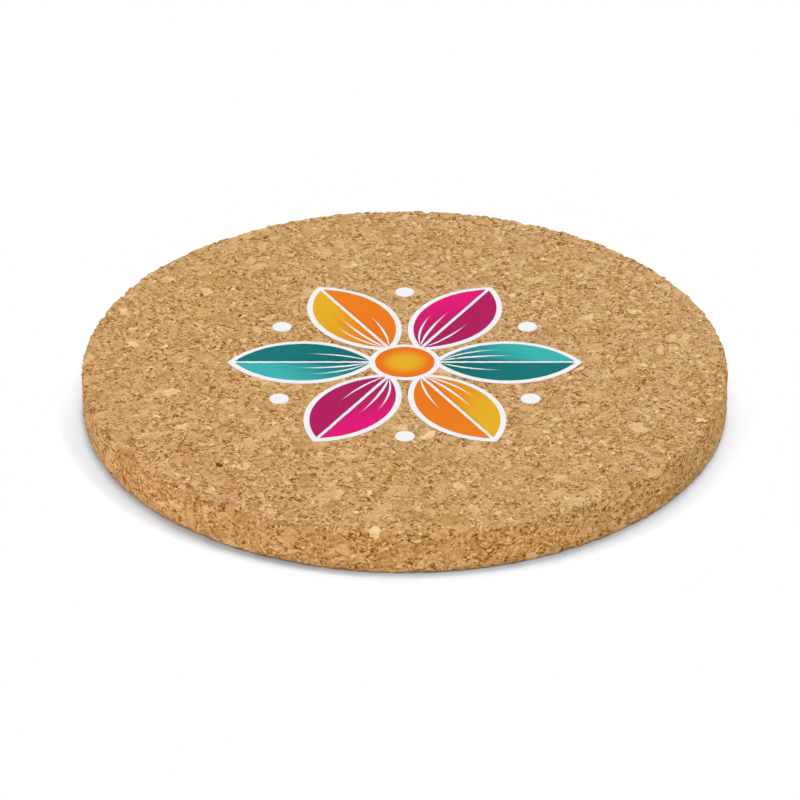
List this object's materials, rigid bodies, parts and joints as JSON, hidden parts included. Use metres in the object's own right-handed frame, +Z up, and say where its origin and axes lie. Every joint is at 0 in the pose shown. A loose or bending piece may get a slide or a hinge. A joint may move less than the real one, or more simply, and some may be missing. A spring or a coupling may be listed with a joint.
{
  "type": "cork coaster",
  "caption": "Round pressed-cork coaster with a softened edge and a printed petal rosette, laid under a cup or glass to protect the table.",
  "frame": {"origin": "centre of the underside, where the coaster stands on the table", "axes": "+Z up out of the printed face, +X along the first petal, -Y towards the picture's viewer"},
  "size_m": [0.1, 0.1, 0.007],
  "materials": {
    "cork": "matte",
    "white_ink": "satin",
    "orange_ink": "satin",
    "teal_ink": "satin",
    "deep_teal_ink": "satin",
    "magenta_ink": "satin",
    "deep_magenta_ink": "satin",
    "amber_ink": "satin",
    "deep_amber_ink": "satin"
  },
  "bodies": {
    "root": {"cork_disc": "cork", "white_underbase": "white_ink", "hub_ink": "orange_ink", "petal_1_light": "teal_ink", "petal_1_shade": "deep_teal_ink", "petal_2_light": "magenta_ink", "petal_2_shade": "deep_magenta_ink", "petal_3_light": "amber_ink", "petal_3_shade": "deep_amber_ink", "petal_4_light": "teal_ink", "petal_4_shade": "deep_teal_ink", "petal_5_light": "magenta_ink", "petal_5_shade": "deep_magenta_ink", "petal_6_light": "amber_ink", "petal_6_shade": "deep_amber_ink", "white_dot_1": "white_ink", "white_dot_2": "white_ink", "white_dot_3": "white_ink", "white_dot_4": "white_ink", "white_dot_5": "white_ink", "white_dot_6": "white_ink"}
  },
  "joints": []
}
